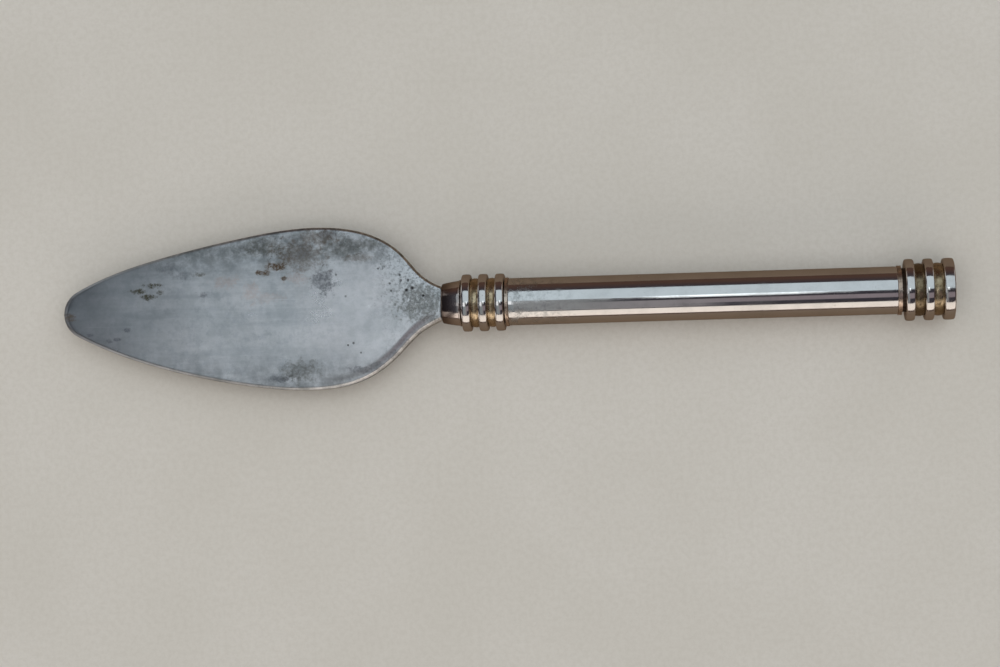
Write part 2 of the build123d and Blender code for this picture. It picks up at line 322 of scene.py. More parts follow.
# ---------------------------------------------------------------- profiles of the turned pieces
def crowned_profile(node):
    """A ring's closed half profile: a flat-flanked band with a round crown and eased shoulders."""
    crown, ease = RING_CROWN, RING_EASE
    low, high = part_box(node)
    outer = (high.y - low.y) / 2
    half = (high.x - low.x) / 2
    middle = (high.x + low.x) / 2
    radius = (half * half + crown * crown) / (2 * crown)
    centre = outer - radius
    # The easing arc sits inside the crown's arc and against the flank.
    ease_x = half - ease
    ease_r = centre + math.sqrt((radius - ease) ** 2 - ease_x**2)
    meet = math.degrees(math.atan2(ease_r - centre, ease_x))
    profile = [(middle - half, BORE_RADIUS), (middle - half, ease_r)]
    profile += arc_points(middle - ease_x, ease_r, ease, 180, 180 - meet, 8)
    profile += arc_points(middle, centre, radius, 180 - meet, meet, 24)[1:-1]
    profile += arc_points(middle + ease_x, ease_r, ease, meet, 0, 8)
    profile += [(middle + half, ease_r), (middle + half, BORE_RADIUS)]
    return profile


def band_profile(node, bore=BORE_RADIUS, swell=0.0, ease=0.12 * MM, steps=16):
    """A spacer's or the tube's closed half profile: swell lower at its ends, its corners eased."""
    low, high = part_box(node)
    outer = (high.y - low.y) / 2 - swell
    profile = [(low.x, bore), (low.x, outer - ease)]
    profile += arc_points(low.x + ease, outer - ease, ease, 180, 90, 5)[1:]
    span = high.x - low.x - 2 * ease
    for u in np.linspace(0, 1, steps + 1)[1:-1]:
        profile.append((low.x + ease + u * span, outer + swell * 4 * u * (1 - u)))
    profile += arc_points(high.x - ease, outer - ease, ease, 90, 0, 5)[:-1]
    profile += [(high.x, outer - ease), (high.x, bore)]
    return profile


# ---------------------------------------------------------------- shader helpers
def new_material(name, metallic=1.0):
    material = bpy.data.materials.new(name)
    material.use_nodes = True
    shader = material.node_tree.nodes["Principled BSDF"]
    shader.inputs["Metallic"].default_value = metallic
    return material, material.node_tree, shader


def add_node(tree, kind, links=None, **settings):
    """Add a shader node. links gives its inputs values or sockets; settings are its other properties."""
    made = tree.nodes.new(kind)
    for key, value in settings.items():
        setattr(made, key, value)
    for key, value in (links or {}).items():
        socket = made.inputs[key]
        if isinstance(value, bpy.types.NodeSocket):
            tree.links.new(value, socket)
        else:
            socket.default_value = value
    return made


def math_node(tree, operation, a, b=0.0, clamp=False):
    return add_node(tree, "ShaderNodeMath", {0: a, 1: b}, operation=operation, use_clamp=clamp).outputs[0]


def vector_node(tree, operation, a, b=(0.0, 0.0, 0.0)):
    return add_node(tree, "ShaderNodeVectorMath", {0: a, 1: b}, operation=operation)


def axis_parts(tree, position):
    """The X, Y and Z of a position, as sockets."""
    return add_node(tree, "ShaderNodeSeparateXYZ", {"Vector": position}).outputs


def ramp(tree, value, low, high, low_out=0.0, high_out=1.0):
    """Smoothly map value from the range low to high onto low_out to high_out."""
    made = add_node(
        tree,
        "ShaderNodeMapRange",
        {"Value": value, "From Min": low, "From Max": high, "To Min": low_out, "To Max": high_out},
        interpolation_type="SMOOTHSTEP",
    )
    return made.outputs["Result"]


def blend_colour(tree, factor, a, b, blend_type="MIX"):
    made = tree.nodes.new("ShaderNodeMix")
    made.data_type = "RGBA"
    made.blend_type = blend_type
    made.clamp_factor = True
    for socket, value in ((made.inputs[0], factor), (made.inputs[6], a), (made.inputs[7], b)):
        if isinstance(value, bpy.types.NodeSocket):
            tree.links.new(value, socket)
        else:
            socket.default_value = value if isinstance(value, (int, float)) else (*value, 1.0)
    return made.outputs[2]


def noise(tree, coordinates, scale, detail=3.0, roughness=0.55, distortion=0.0):
    inputs = {"Vector": coordinates, "Scale": scale, "Detail": detail, "Roughness": roughness}
    inputs["Distortion"] = distortion
    return add_node(tree, "ShaderNodeTexNoise", inputs).outputs["Fac"]


def stretched(tree, coordinates, stretch):
    """Coordinates scaled differently along each axis, for marks that run one way."""
    inputs = {"Vector": coordinates, "Scale": stretch}
    return add_node(tree, "ShaderNodeMapping", inputs, vector_type="TEXTURE").outputs["Vector"]


def new_group(name, inputs, outputs):
    """A shader node group with named inputs (name, kind, default) and outputs (name, kind)."""
    group = bpy.data.node_groups.new(name, "ShaderNodeTree")
    for label, kind, default in inputs:
        socket = group.interface.new_socket(label, in_out="INPUT", socket_type=kind)
        if default is not None:
            socket.default_value = default
    for label, kind in outputs:
        group.interface.new_socket(label, in_out="OUTPUT", socket_type=kind)
    return group, group.nodes.new("NodeGroupInput"), group.nodes.new("NodeGroupOutput")


def place_group(tree, group, values):
    made = tree.nodes.new("ShaderNodeGroup")
    made.node_tree = group
    for key, value in values.items():
        if isinstance(value, bpy.types.NodeSocket):
            tree.links.new(value, made.inputs[key])
        else:
            made.inputs[key].default_value = value
    return made


VECTOR, FLOAT = "NodeSocketVector", "NodeSocketFloat"


def make_scratch_group():
    """Fine polishing scratches that run along the piece: a height to bump and a mask of the deeper ones."""
    group, given, result = new_group(
        "polishing_scratches",
        [("Position", VECTOR, None), ("Fineness", FLOAT, 4000.0), ("Stretch", FLOAT, 40.0)],
        [("Height", FLOAT), ("Deep", FLOAT)],
    )
    fineness = given.outputs["Fineness"]
    split = axis_parts(group, given.outputs["Position"])
    short_x = math_node(group, "DIVIDE", split["X"], given.outputs["Stretch"])
    shrunk = {"X": short_x, "Y": split["Y"], "Z": split["Z"]}
    lines = add_node(group, "ShaderNodeCombineXYZ", shrunk).outputs["Vector"]
    fine = noise(group, lines, fineness, detail=4.0, roughness=0.7)
    coarse_scale = math_node(group, "MULTIPLY", fineness, 0.21)
    coarse = noise(group, lines, coarse_scale, detail=5.0, roughness=0.65)
    fine_part = math_node(group, "MULTIPLY", fine, 0.6)
    height = math_node(group, "ADD", fine_part, math_node(group, "MULTIPLY", coarse, 0.4))
    deep = ramp(group, coarse, 0.60, 0.74)
    group.links.new(height, result.inputs["Height"])
    group.links.new(deep, result.inputs["Deep"])
    return group


def make_pit_group():
    """Small round corrosion pits, gathered in patches: a mask that is 1 in a pit."""
    group, given, result = new_group(
        "corrosion_pits",
        [
            ("Position", VECTOR, None),
            ("Density", FLOAT, 1200.0),
            ("Size", FLOAT, 0.22),
            ("Patches", FLOAT, 60.0),
        ],
        [("Pits", FLOAT)],
    )
    position = given.outputs["Position"]
    cells = add_node(
        group,
        "ShaderNodeTexVoronoi",
        {"Vector": position, "Scale": given.outputs["Density"], "Randomness": 1.0},
        feature="F1",
    )
    uneven = add_node(group, "ShaderNodeSeparateColor", {"Color": cells.outputs["Color"]}).outputs["Red"]
    size = math_node(group, "MULTIPLY", given.outputs["Size"], math_node(group, "POWER", uneven, 2.0))
    inner = math_node(group, "MULTIPLY", size, 0.45)
    spot = ramp(group, cells.outputs["Distance"], inner, size, 1.0, 0.0)
    gathered = ramp(group, noise(group, position, given.outputs["Patches"], detail=2.0), 0.47, 0.62)
    group.links.new(math_node(group, "MULTIPLY", spot, gathered, clamp=True), result.inputs["Pits"])
    return group


def make_spot_group():
    """A ragged stain round one place: a mask that is 1 at its heart and fades out at its radius."""
    group, given, result = new_group(
        "ragged_stain",
        [
            ("Position", VECTOR, None),
            ("Centre", VECTOR, None),
            ("Radius", VECTOR, (0.005, 0.005, 0.02)),
            ("Ragged", FLOAT, 0.5),
            ("Raggedness", FLOAT, 2.0),
            ("Strength", FLOAT, 1.0),
        ],
        [("Mask", FLOAT)],
    )
    offset = vector_node(group, "SUBTRACT", given.outputs["Position"], given.outputs["Centre"])
    scaled = vector_node(group, "DIVIDE", offset.outputs[0], given.outputs["Radius"])
    distance = vector_node(group, "LENGTH", scaled.outputs[0]).outputs["Value"]
    uneven = math_node(group, "SUBTRACT", given.outputs["Ragged"], 0.5)
    push = math_node(group, "MULTIPLY", uneven, given.outputs["Raggedness"])
    faded = ramp(group, math_node(group, "ADD", distance, push), 1.10, 0.40)
    group.links.new(math_node(group, "MULTIPLY", faded, given.outputs["Strength"]), result.inputs["Mask"])
    return group


SCRATCHES = make_scratch_group()
PITS = make_pit_group()
STAIN = make_spot_group()


def object_position(tree):
    return tree.nodes.new("ShaderNodeTexCoord").outputs["Object"]


def bump(tree, height, strength, distance):
    made = add_node(tree, "ShaderNodeBump", {"Height": height, "Strength": strength, "Distance": distance})
    return made.outputs["Normal"]


def connect(tree, shader, **sockets):
    names = {"colour": "Base Color", "roughness": "Roughness", "normal": "Normal", "metallic": "Metallic"}
    for key, socket in sockets.items():
        tree.links.new(socket, shader.inputs[names[key]])


# ---------------------------------------------------------------- materials
# Marks on the blade's upper face: mm in front of the bolster, mm to the left of the handle's line,
# half length and half width in mm, strength, and what the mark is.
BLADE_MARKS = (
    # the dark broken blotch near the tip
    (83.1, 5.9, 2.2, 0.9, 0.95, "olive"),
    (79.4, 7.2, 2.6, 0.9, 0.92, "olive"),
    (80.8, 4.1, 2.3, 0.8, 0.92, "olive"),
    (77.2, 5.3, 0.9, 0.7, 0.60, "olive"),
    (74.6, 11.8, 3.2, 2.0, 0.35, "slate"),
    (70.2, 9.9, 2.8, 1.6, 0.35, "slate"),
    (65.7, 9.8, 2.0, 0.6, 0.60, "olive"),
    (65.6, 4.2, 1.5, 0.9, 0.50, "slate"),
    # brown streaks and the broad brown bloom behind them, on the left half
    (48.6, 9.8, 2.4, 0.8, 0.90, "brown"),
    (44.3, 11.2, 3.8, 1.1, 0.95, "brown"),
    (41.7, 13.1, 2.4, 1.7, 0.60, "brown"),
    (43.0, 8.2, 0.9, 0.6, 0.80, "brown"),
    (38.6, 14.4, 8.4, 5.2, 0.42, "brown"),
    (47.7, 16.7, 7.6, 2.8, 0.46, "olive"),
    (33.3, 18.6, 6.4, 3.0, 0.50, "brown"),
    (26.9, 16.0, 6.4, 3.4, 0.36, "olive"),
    (30.4, 20.0, 3.2, 1.3, 0.50, "slate"),
    (19.8, 16.6, 4.4, 1.9, 0.42, "olive"),
    (22.3, 13.1, 4.6, 1.3, 0.40, "brown"),
    # the dull round spot and the faint blushes beside it
    (32.3, 7.1, 3.6, 4.0, 0.62, "slate"),
    (52.2, 4.6, 2.4, 3.6, 0.35, "blush"),
    (58.9, 7.8, 4.2, 1.8, 0.35, "blush"),
    (39.4, 8.2, 3.6, 1.8, 0.35, "blush"),
    (47.4, 3.1, 4.8, 1.8, 0.25, "blush"),
    # the dulled end at the neck
    (5.4, 0.5, 7.4, 5.8, 0.56, "olive"),
    # the right-hand edge
    (39.1, -16.9, 6.0, 3.6, 0.45, "olive"),
    (44.7, -19.0, 4.4, 1.2, 0.45, "slate"),
    (22.4, -17.1, 4.6, 1.2, 0.45, "slate"),
    # painted shade in the hollow beside the right-hand shoulder
    (18.5, -16.2, 3.0, 1.2, 0.35, "slate"),
    (13.5, -13.4, 2.6, 1.5, 0.38, "slate"),
    (9.5, -10.6, 2.2, 1.4, 0.38, "slate"),
    (6.0, -8.0, 2.2, 1.1, 0.35, "slate"),
    # specks by the tip
    (86.3, -4.6, 1.4, 0.7, 0.55, "slate"),
    (89.5, -7.1, 1.2, 0.6, 0.65, "slate"),
    (91.9, -7.4, 1.2, 0.6, 0.45, "slate"),
    (97.1, -5.7, 1.1, 0.6, 0.55, "slate"),
    (102.2, -0.8, 1.7, 1.4, 0.65, "brown"),
    # the larger single pits on the shoulder and the right half
    (8.2, 4.5, 0.6, 0.6, 0.95, "pit"),
    (5.1, 2.3, 0.5, 0.5, 0.95, "pit"),
    (13.8, 3.9, 0.4, 0.4, 0.75, "pit"),
    (14.1, 5.9, 0.4, 0.4, 0.70, "pit"),
    (17.2, 10.0, 0.4, 0.3, 0.65, "pit"),
    (11.3, 8.1, 0.4, 0.4, 0.75, "pit"),
    (9.1, 6.6, 0.4, 0.5, 0.75, "pit"),
    (11.1, 6.6, 0.4, 0.4, 0.70, "pit"),
    (9.6, 4.0, 0.6, 0.5, 0.95, "pit"),
    (24.5, -9.9, 0.4, 0.4, 0.65, "pit"),
    (26.0, -10.4, 0.3, 0.3, 0.85, "pit"),
    (22.5, -12.5, 0.3, 0.3, 0.65, "pit"),
    (26.3, 2.8, 0.4, 0.4, 0.50, "pit"),
    (28.8, 8.7, 0.4, 0.4, 0.55, "pit"),
)
MARK_TONES = {
    "olive": (0.155, 0.15, 0.11),
    "slate": (0.18, 0.19, 0.22),
    "brown": (0.235, 0.172, 0.12),
    "blush": (0.62, 0.48, 0.42),
    "pit": (0.065, 0.062, 0.058),
}


def blade_marks(tree, position):
    """One mask for each tone, made of all the marks of that tone."""
    ragged = noise(tree, position, 560.0, detail=8.0, roughness=0.78)
    masks = {}
    for along, aside, half_length, half_width, strength, tone in BLADE_MARKS:
        mark = place_group(
            tree,
            STAIN,
            {
                "Position": position,
                "Centre": (NECK_X - along * MM, aside * MM, AXIS_Z),
                "Radius": (half_length * MM, half_width * MM, 40 * MM),
                "Ragged": ragged,
                "Raggedness": 1.2 if tone == "pit" else 4.2,
                "Strength": strength,
            },
        ).outputs["Mask"]
        masks[tone] = math_node(tree, "MAXIMUM", masks[tone], mark) if tone in masks else mark
    return masks


def blade_material():
    material, tree, shader = new_material("blade_worn_plate")
    position = object_position(tree)
    along, aside, _ = axis_parts(tree, position)
    scratches = place_group(tree, SCRATCHES, {"Position": position, "Fineness": 3000.0, "Stretch": 45.0})
    deep_scratches = scratches.outputs["Deep"]
    pits = place_group(tree, PITS, {"Position": position, "Density": 2100.0, "Size": 0.80, "Patches": 150.0})

    # Broad clouds and lengthwise streaks of dulled plate under everything else. They thin out towards the
    # neck, which is a painted sheen on the shoulder.
    clouds = noise(tree, position, 55.0, detail=7.0, roughness=0.66, distortion=0.3)
    fine_clouds = noise(tree, position, 330.0, detail=5.0, roughness=0.7)
    streaks = noise(tree, stretched(tree, position, (9.0, 1.0, 1.0)), 300.0, detail=5.0, roughness=0.62)
    plate = blend_colour(tree, ramp(tree, clouds, 0.34, 0.62), (0.86, 0.895, 0.91), (0.97, 0.985, 1.0))
    dulling_thinned_for_sheen = ramp(tree, along, NECK_X - 24 * MM, NECK_X - 48 * MM, 0.3, 1.0)
    cloudy = math_node(tree, "MULTIPLY", ramp(tree, fine_clouds, 0.46, 0.68, 0.0, 0.45), dulling_thinned_for_sheen)
    streaky = math_node(tree, "MULTIPLY", ramp(tree, streaks, 0.44, 0.68, 0.0, 0.5), dulling_thinned_for_sheen)
    plate = blend_colour(tree, cloudy, plate, (0.58, 0.63, 0.67))
    plate = blend_colour(tree, streaky, plate, (0.60, 0.65, 0.68))
    # Painted shade: the plate is painted darker from the middle of the blade forwards, and darker still
    # towards the tip.
    painted_shade_forwards = ramp(tree, along, NECK_X - 28 * MM, NECK_X - 46 * MM)
    plate = blend_colour(tree, painted_shade_forwards, plate, (0.76, 0.77, 0.775), "MULTIPLY")
    painted_shade_to_tip = ramp(tree, along, TIP_X + 46 * MM, TIP_X - 6 * MM, 0.0, 0.80)
    colour = blend_colour(tree, painted_shade_to_tip, plate, (0.285, 0.31, 0.335))

    # A blue-grey film follows the left edge, and a thinner one the right.
    grain = noise(tree, position, 230.0, detail=7.0, roughness=0.72)
    film_grain = ramp(tree, grain, 0.36, 0.62)
    left_film = ramp(tree, aside, 7 * MM, 17 * MM, 0.0, 0.90)
    right_film = ramp(tree, aside, -9 * MM, -22 * MM, 0.0, 0.55)
    film = math_node(tree, "MULTIPLY", math_node(tree, "MAXIMUM", left_film, right_film), film_grain)
    colour = blend_colour(tree, film, colour, (0.30, 0.325, 0.33))

    # Fine mottling over the whole face.
    mottling = ramp(tree, noise(tree, position, 430.0, detail=8.0, roughness=0.76), 0.40, 0.60)
    mottled = blend_colour(tree, mottling, (1.0, 1.0, 1.0), (0.90, 0.91, 0.905))
    colour = blend_colour(tree, 1.0, colour, mottled, "MULTIPLY")

    masks = blade_marks(tree, position)
    stained = None
    speckle = ramp(tree, noise(tree, position, 1500.0, detail=4.0, roughness=0.7), 0.40, 0.57, 0.50, 1.12)
    for tone in ("blush", "slate", "olive", "brown"):
        masks[tone] = math_node(tree, "MULTIPLY", masks[tone], speckle)
        colour = blend_colour(tree, masks[tone], colour, MARK_TONES[tone])
        if tone != "blush":
            stained = masks[tone] if stained is None else math_node(tree, "MAXIMUM", stained, masks[tone])

    # Pits crowd the shoulder in front of the bolster and thin out forwards.
    to_neck = ramp(tree, along, NECK_X - 22 * MM, NECK_X - 8 * MM)
    left_half = ramp(tree, aside, -6 * MM, 3 * MM, 0.3, 1.0)
    crowded = math_node(tree, "MULTIPLY", to_neck, left_half)
    # Fine grey grain lies between the pits.
    fine_grain = ramp(tree, noise(tree, position, 1150.0, detail=5.0, roughness=0.7), 0.47, 0.60, 0.0, 0.62)
    colour = blend_colour(tree, math_node(tree, "MULTIPLY", fine_grain, crowded), colour, (0.24, 0.25, 0.25))
    pit_mask = math_node(tree, "MULTIPLY", pits.outputs["Pits"], crowded)
    pit_mask = math_node(tree, "MAXIMUM", pit_mask, masks["pit"])
    colour = blend_colour(tree, pit_mask, colour, MARK_TONES["pit"])
    # Where the plate still shines between the pits and through the dulled neck.
    bright_grain = ramp(tree, noise(tree, position, 620.0, detail=6.0, roughness=0.75), 0.56, 0.66)
    near_neck = ramp(tree, along, NECK_X - 22 * MM, NECK_X - 4 * MM)
    bright_flecks = math_node(tree, "MULTIPLY", bright_grain, near_neck)
    colour = blend_colour(tree, math_node(tree, "MULTIPLY", bright_flecks, 0.75), colour, (0.95, 0.97, 0.98))
    colour = blend_colour(tree, math_node(tree, "MULTIPLY", deep_scratches, 0.3), colour, (0.93, 0.96, 0.98))

    roughness = ramp(tree, clouds, 0.3, 0.7, 0.34, 0.27)
    roughness = math_node(tree, "ADD", roughness, math_node(tree, "MULTIPLY", film, 0.12))
    roughness = math_node(tree, "ADD", roughness, math_node(tree, "MULTIPLY", stained, 0.2))
    roughness = math_node(tree, "ADD", roughness, math_node(tree, "MULTIPLY", pit_mask, 0.25), clamp=True)
    pit_depth = math_node(tree, "MULTIPLY", pit_mask, 2.0)
    height = math_node(tree, "SUBTRACT", scratches.outputs["Height"], pit_depth)
    height = math_node(tree, "SUBTRACT", height, math_node(tree, "MULTIPLY", stained, 0.08))
    height = math_node(tree, "ADD", height, math_node(tree, "MULTIPLY", fine_clouds, 0.8))
    connect(tree, shader, colour=colour, roughness=roughness, normal=bump(tree, height, 0.55, 0.03 * MM))
    return material


def bright_plate_material(name, bright, dull, tarnish, rubbed=None, painted_dark_reflection=None, base_roughness=0.06):
    """Polished plate: bright, clouded a little, with hairline scratches and specks of tarnish.

    rubbed is (from x, to x): towards the first the plate is rubbed and mottled.
    painted_dark_reflection is (from x, to x, colour): towards the first the colour is painted this dark tone,
    a painted dark reflection.
    """
    material, tree, shader = new_material(name)
    position = object_position(tree)
    scratches = place_group(tree, SCRATCHES, {"Position": position, "Fineness": 2600.0, "Stretch": 25.0})
    pits = place_group(tree, PITS, {"Position": position, "Density": 1300.0, "Size": 0.22, "Patches": 140.0})
    clouds = noise(tree, position, 120.0, detail=5.0, roughness=0.6)
    colour = blend_colour(tree, ramp(tree, clouds, 0.40, 0.70), bright, dull)
    colour = blend_colour(tree, math_node(tree, "MULTIPLY", pits.outputs["Pits"], 0.75), colour, tarnish)
    roughness = ramp(tree, clouds, 0.35, 0.75, base_roughness, base_roughness + 0.09)
    for mask, added in ((scratches.outputs["Deep"], 0.10), (pits.outputs["Pits"], 0.25)):
        roughness = math_node(tree, "ADD", roughness, math_node(tree, "MULTIPLY", mask, added))
    if rubbed:
        along = axis_parts(tree, position)["X"]
        mottle = ramp(tree, noise(tree, position, 560.0, detail=6.0, roughness=0.72), 0.42, 0.64)
        worn = math_node(tree, "MULTIPLY", mottle, ramp(tree, along, rubbed[1], rubbed[0]))
        colour = blend_colour(tree, math_node(tree, "MULTIPLY", worn, 0.55), colour, (0.36, 0.385, 0.375))
        roughness = math_node(tree, "ADD", roughness, math_node(tree, "MULTIPLY", worn, 0.28), clamp=True)
    if painted_dark_reflection:
        # Painted dark reflection: the colour is painted darker towards from_x.
        along = axis_parts(tree, position)["X"]
        from_x, to_x, painted_dark_tone = painted_dark_reflection
        waver = 1.5 * MM
        wavering = math_node(tree, "ADD", along, math_node(tree, "MULTIPLY", clouds, waver))
        tone = ramp(tree, wavering, to_x + waver / 2, from_x + waver / 2, 0.0, 0.9)
        colour = blend_colour(tree, tone, colour, painted_dark_tone)
    height = math_node(tree, "SUBTRACT", scratches.outputs["Height"], pits.outputs["Pits"])
    connect(tree, shader, colour=colour, roughness=roughness, normal=bump(tree, height, 0.12, 0.008 * MM))
    return material


def gilt_material(name, bright, dull, grime, grime_below=0.0, grimy_between=None):
    """Worn yellow metal: bright where it is rubbed, dull between, with grime in its low places.

    Nearer the handle's line than grime_below, in metres, the grime is thick. grimy_between is (from x, to x):
    there a thinner grime lies all round.
    """
    material, tree, shader = new_material(name)
    position = object_position(tree)
    clouds = noise(tree, position, 330.0, detail=5.0, roughness=0.65)
    dirt = ramp(tree, noise(tree, position, 800.0, detail=4.0, roughness=0.7), 0.48, 0.66)
    colour = blend_colour(tree, ramp(tree, clouds, 0.38, 0.66), bright, dull)
    colour = blend_colour(tree, math_node(tree, "MULTIPLY", dirt, 0.55), colour, grime)
    roughness = ramp(tree, clouds, 0.35, 0.7, 0.2, 0.34)
    roughness = math_node(tree, "ADD", roughness, math_node(tree, "MULTIPLY", dirt, 0.2))
    if grimy_between:
        along = axis_parts(tree, position)["X"]
        from_x, to_x = grimy_between
        begins = ramp(tree, along, from_x - 2 * MM, from_x, 0.0, 0.72)
        ends = ramp(tree, along, to_x, to_x + 2 * MM, 1.0, 0.45)
        colour = blend_colour(tree, math_node(tree, "MULTIPLY", begins, ends), colour, (0.16, 0.12, 0.07))
    if grime_below:
        flat = vector_node(tree, "MULTIPLY", position, (0.0, 1.0, 1.0))
        centred = vector_node(tree, "SUBTRACT", flat.outputs[0], (0.0, 0.0, AXIS_Z))
        radius = vector_node(tree, "LENGTH", centred.outputs[0]).outputs["Value"]
        packed = ramp(tree, radius, grime_below, grime_below - 0.25 * MM, 0.0, 0.92)
        colour = blend_colour(tree, packed, colour, grime)
        roughness = math_node(tree, "ADD", roughness, math_node(tree, "MULTIPLY", packed, 0.3), clamp=True)
    connect(tree, shader, colour=colour, roughness=roughness, normal=bump(tree, dirt, 0.2, 0.02 * MM))
    return material


def cement_material():
    material, tree, shader = new_material("tang_filler", metallic=0.0)
    position = object_position(tree)
    grain = noise(tree, position, 900.0, detail=6.0, roughness=0.7)
    colour = blend_colour(tree, ramp(tree, grain, 0.35, 0.65), (0.10, 0.07, 0.045), (0.20, 0.15, 0.10))
    roughness = ramp(tree, grain, 0.3, 0.7, 0.7, 0.9)
    connect(tree, shader, colour=colour, roughness=roughness, normal=bump(tree, grain, 0.5, 0.1 * MM))
    return material


blade_plate = blade_material()
tube_plate = bright_plate_material(
    "tube_polished_plate",
    (0.86, 0.85, 0.83),
    (0.78, 0.77, 0.75),
    (0.22, 0.18, 0.13),
    rubbed=(tube_low.x, tube_low.x + 26 * MM),
)
ring_plate = bright_plate_material(
    "ring_polished_plate", (0.86, 0.84, 0.81), (0.76, 0.73, 0.70), (0.16, 0.12, 0.08), base_roughness=0.08
)
# The bolster's front is painted dark towards the blade, a painted dark reflection.
bolster_plate = bright_plate_material(
    "bolster_plate_painted_dark",
    (0.80, 0.74, 0.70),
    (0.66, 0.59, 0.54),
    (0.12, 0.09, 0.07),
    painted_dark_reflection=(NECK_X + 0.4 * MM, NECK_X + 4.2 * MM, (0.20, 0.155, 0.13)),
    base_roughness=0.10,
)
cap_groove_low, cap_groove_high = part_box("cap_spacer_front")
brass = gilt_material(
    "aged_brass",
    (0.80, 0.64, 0.42),
    (0.50, 0.38, 0.22),
    (0.10, 0.07, 0.04),
    grimy_between=(cap_groove_low.x, cap_groove_high.x),
)
lip_gilt = gilt_material(
    "rubbed_lip",
    (0.82, 0.68, 0.56),
    (0.68, 0.52, 0.40),
    (0.06, 0.04, 0.028),
    grime_below=TUBE_RADIUS - 0.2 * MM,
)
filler = cement_material()

# ---------------------------------------------------------------- the pieces
piece_from("blade_and_tang", blade_mesh(), blade_plate, "blade_plate", "blade")


def bolster_profile():
    """Rounded front edge, a gently bellied flare, the thin rim and the hub that bears on the first ring.

    The CAD's tang slot and sleeve socket aren't cut here, so the pieces inside cross this one.
    """
    length = bolster_high.x - bolster_low.x
    rim = (bolster_high.y - bolster_low.y) / 2
    front, rear, hub, bore = 5.35 * MM, 6.05 * MM, 5.6 * MM, 1.2 * MM  # radii
    rim_width, hub_width, ease = 0.5 * MM, 0.35 * MM, 0.35 * MM
    before_rim = 0.08 * MM  # the flare's last point stands this far in front of the rim
    cone = length - rim_width - hub_width
    x = bolster_low.x
    profile = [(x, bore), (x, front - ease)]
    profile += arc_points(x + ease, front - ease, ease, 180, 90, 8)[1:]
    for u in np.linspace(0, 1, 21)[1:]:
        flare = front + (rear - front) * (1.35 * u - 0.35 * u * u)
        profile.append((x + ease + u * (cone - ease - before_rim), flare))
    rim_x = x + cone
    half = rim_width / 2
    profile += [(rim_x, rear)]
    profile += arc_points(rim_x + half, rim - half, half, 180, 0, 12)
    profile += [(rim_x + rim_width, hub), (x + length, hub), (x + length, bore)]
    return profile


bolster_mesh = turned_mesh("bolster_flare", bolster_profile())
piece_from("bolster_flare", bolster_mesh, bolster_plate, "bolster_plate", "bolster")

# The rear cap ring has no recess for the end button, so the button's disc lies inside its metal.
for number, place in enumerate(("front", "middle", "rear")):
    for group_name in ("collar", "cap"):
        node = f"{group_name}_ring_{place}"
        mesh = turned_mesh(node + "_turned", crowned_profile(node), wobble=TURNED_WOBBLE, seed=number)
        piece_from(node + "_crowned", mesh, ring_plate, "ring_plate", node)
for place in ("front", "rear"):
    for group_name in ("collar", "cap"):
        node = f"{group_name}_spacer_{place}"
        groove = band_profile(node, swell=SPACER_SWELL)
        mesh = turned_mesh(node + "_turned", groove, wobble=TURNED_WOBBLE, seed=SPACER_SEED)
        piece_from(node + "_brass", mesh, brass, "brass", node)

tube_profile = band_profile("handle_tube", bore=TUBE_RADIUS - TUBE_WALL, ease=TUBE_END_EASE, steps=60)
piece_from("tube_drawn", turned_mesh("tube_drawn", tube_profile), tube_plate, "handle_plate", "handle_tube")


def button_profile():
    """A disc on a shank, its outer edge eased and its face turned a hair hollow."""
    low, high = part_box("end_button")
    outer = (high.y - low.y) / 2
    disc, ease, shank, centre_hole = 1.2 * MM, 0.25 * MM, 2.0 * MM, 0.2 * MM
    hollow = 0.02 * MM
    disc_x = high.x - disc
    profile = [(low.x, centre_hole), (low.x, shank - ease), (low.x + ease, shank)]
    profile += [(disc_x, shank), (disc_x, outer)]
    profile += arc_points(high.x - ease, outer - ease, ease, 90, 0, 8)
    profile += [(high.x - hollow, outer * u) for u in np.linspace(0.9, 0.05, 12)]
    return profile


button_mesh = turned_mesh("end_button_turned", button_profile())
piece_from("end_button_turned", button_mesh, ring_plate, "ring_plate", "end_button")

for node, finish in (("collar_sleeve", lip_gilt), ("cap_plug", lip_gilt), ("tang_cement", filler)):
    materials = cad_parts[node].data.materials
    for index in range(len(materials)):
        materials[index] = finish

# ---------------------------------------------------------------- floor
def floor_material():
    material, tree, shader = new_material("pale_board", metallic=0.0)
    path = tree.nodes.new("ShaderNodeLightPath")
    position = object_position(tree)
    fibres = noise(tree, position, 700.0, detail=5.0, roughness=0.7)
    patches = noise(tree, position, 18.0, detail=3.0)
    colour = blend_colour(tree, ramp(tree, patches, 0.3, 0.7), (0.72, 0.68, 0.62), (0.76, 0.72, 0.665))
    colour = blend_colour(tree, ramp(tree, fibres, 0.35, 0.68, 0.0, 0.35), colour, (0.62, 0.575, 0.51))
    # The polished metal sees a darker table, so that its flanks keep their depth.
    colour = blend_colour(tree, path.outputs["Is Glossy Ray"], colour, (0.225, 0.155, 0.105))
    shader.inputs["Specular IOR Level"].default_value = 0.2
    roughness = ramp(tree, fibres, 0.3, 0.7, 0.75, 0.9)
    connect(tree, shader, colour=colour, roughness=roughness, normal=bump(tree, fibres, 0.25, 0.05 * MM))
    return material


FLOOR_HALF = 4.0
floor_mesh = bpy.data.meshes.new("floor")
floor_mesh.from_pydata(
    [(x, y, 0.0) for x, y in ((-1, -1), (1, -1), (1, 1), (-1, 1))], [], [(0, 1, 2, 3)]
)
floor_mesh.transform(Matrix.Scale(FLOOR_HALF, 4))
floor = bpy.data.objects.new("floor", floor_mesh)
floor_mesh.materials.append(floor_material())
bpy.context.scene.collection.objects.link(floor)

